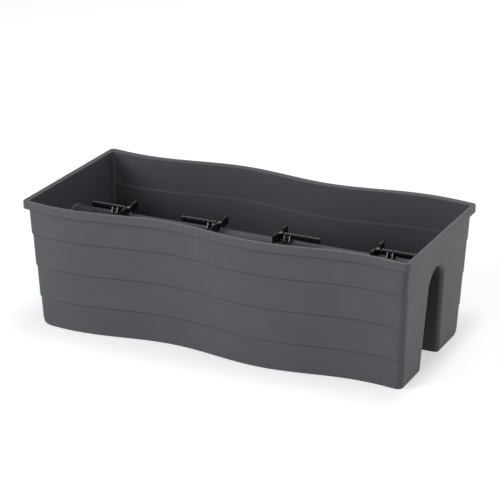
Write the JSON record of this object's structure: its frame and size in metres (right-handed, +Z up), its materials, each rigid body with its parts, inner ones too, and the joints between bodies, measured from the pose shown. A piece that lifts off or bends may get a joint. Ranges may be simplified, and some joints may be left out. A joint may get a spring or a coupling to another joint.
{
  "type": "railing planter",
  "caption": "Wavy-sided plastic tub that straddles a balcony handrail, with lapped bands, a turned-down rim and sliding ratchet jaws parked on the crown of its rail channel.",
  "frame": {"origin": "on the ground, under the middle of the tub", "axes": "+X along the handrail, +Y to the back, +Z up"},
  "size_m": [0.6, 0.2888, 0.197],
  "materials": {
    "tub_plastic": "anthracite moulded polypropylene, satin with a fine spark-eroded texture",
    "clip_plastic": "black moulded nylon, smooth"
  },
  "bodies": {
    "tub": {"planter_tub": "tub_plastic", "latch_collar_1": "clip_plastic", "latch_collar_2": "clip_plastic", "latch_collar_3": "clip_plastic", "latch_collar_4": "clip_plastic"},
    "jaw_1": {"jaw_rack_1": "clip_plastic"},
    "jaw_2": {"jaw_rack_2": "clip_plastic"},
    "jaw_3": {"jaw_rack_3": "clip_plastic"},
    "jaw_4": {"jaw_rack_4": "clip_plastic"}
  },
  "joints": [
    {"name": "jaw_slide_1", "type": "slide", "parent": "tub", "child": "jaw_1", "axis": [1, 0, 0], "range_m": [-0.012, 0.028]},
    {"name": "jaw_slide_2", "type": "slide", "parent": "tub", "child": "jaw_2", "axis": [1, 0, 0], "range_m": [-0.004, 0.036]},
    {"name": "jaw_slide_3", "type": "slide", "parent": "tub", "child": "jaw_3", "axis": [-1, 0, 0], "range_m": [-0.004, 0.036]},
    {"name": "jaw_slide_4", "type": "slide", "parent": "tub", "child": "jaw_4", "axis": [-1, 0, 0], "range_m": [-0.012, 0.028]}
  ]
}
